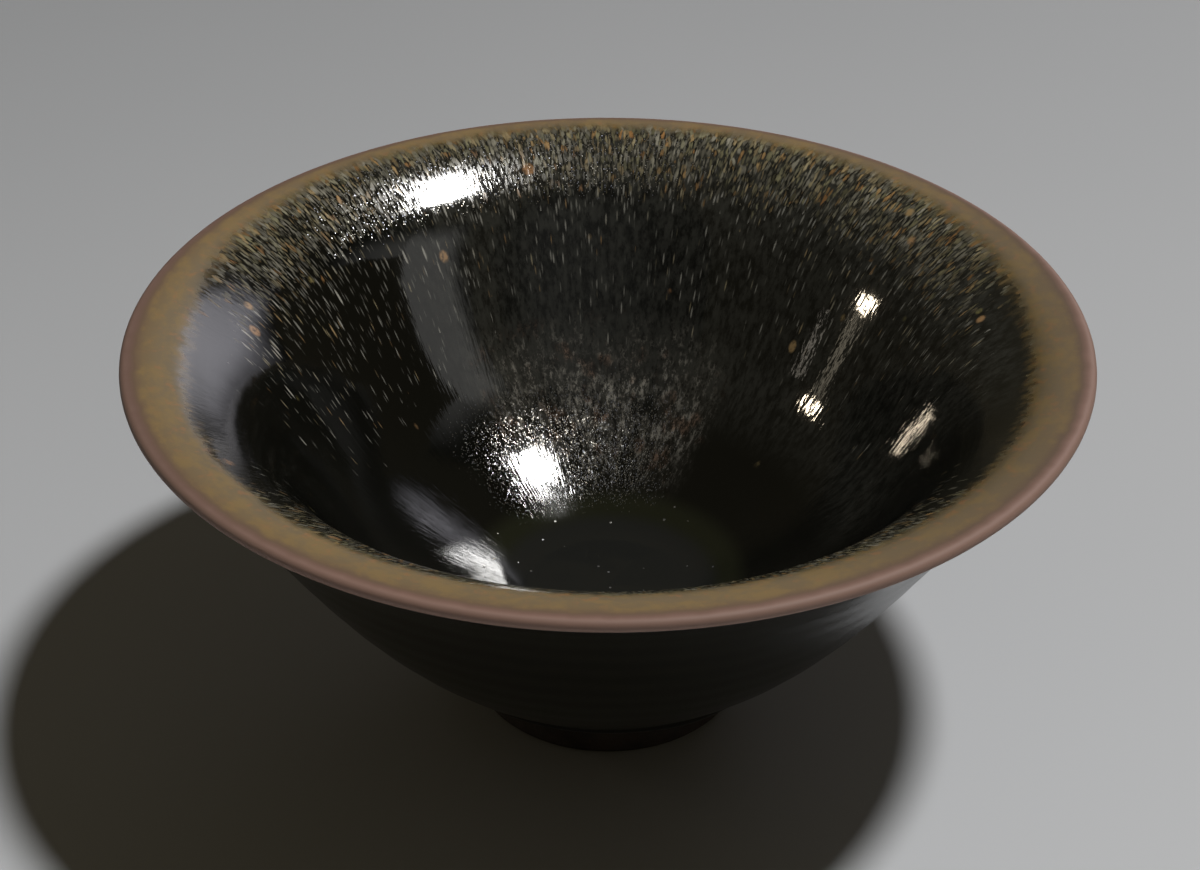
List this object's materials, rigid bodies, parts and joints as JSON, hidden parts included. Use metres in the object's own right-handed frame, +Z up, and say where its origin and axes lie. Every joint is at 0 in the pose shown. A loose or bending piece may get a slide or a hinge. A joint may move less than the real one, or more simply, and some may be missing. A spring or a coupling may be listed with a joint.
{
  "type": "tea bowl",
  "caption": "Flared conical stoneware tea bowl with a black iron glaze, a thin brown glazed lip, a small well and a bare turned foot ring.",
  "frame": {"origin": "centre of the foot ring, in the plane it rests on", "axes": "+Z up along the bowl's axis, the bowl opens towards +Z"},
  "size_m": [0.125, 0.125, 0.0545],
  "materials": {
    "bare_stoneware": "dark iron-rich stoneware, unglazed, with fine turning lines",
    "black_glaze": "glossy black iron glaze with fine silver and olive streaks that run down from the lip",
    "brown_glaze": "thin satin iron glaze, ochre on the flange and mauve-brown on the lip's edge"
  },
  "bodies": {
    "root": {"stoneware_body": "bare_stoneware", "inner_glaze": "black_glaze", "outer_glaze": "black_glaze", "lip_glaze": "brown_glaze", "well_pool": "black_glaze", "glaze_roll": "black_glaze"}
  },
  "joints": []
}
